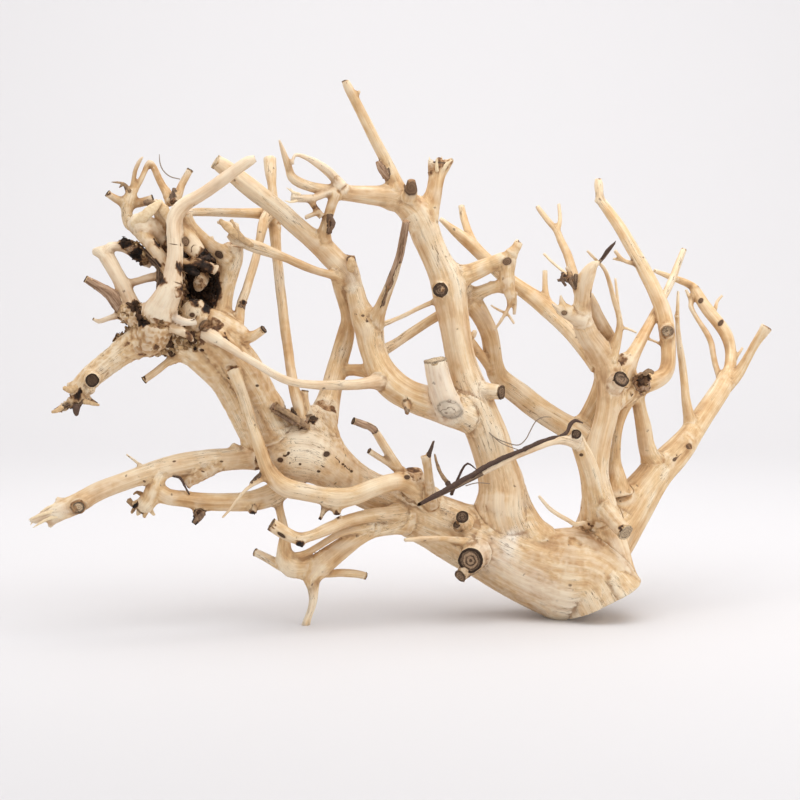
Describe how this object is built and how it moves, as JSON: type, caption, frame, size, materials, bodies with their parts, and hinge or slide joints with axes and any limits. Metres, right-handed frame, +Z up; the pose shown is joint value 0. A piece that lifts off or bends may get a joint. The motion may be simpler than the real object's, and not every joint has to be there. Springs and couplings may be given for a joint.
{
  "type": "driftwood root",
  "caption": "Freestanding driftwood root: a sawn butt that forks into many bent, peeled limbs, knots and twigs, used as an ornament or tank decoration.",
  "frame": {"origin": "the small flat spot on the rim of the sawn butt, where the root touches the floor", "axes": "+Z up; +X from the gnarled head at the left towards the crown at the right, seen from the front; +Y away from the viewer"},
  "size_m": [0.526, 0.2769, 0.372],
  "materials": {
    "peeled_root_wood": "matt, dry, peeled and weathered"
  },
  "bodies": {
    "root": {"driftwood_root": "peeled_root_wood"}
  },
  "joints": []
}
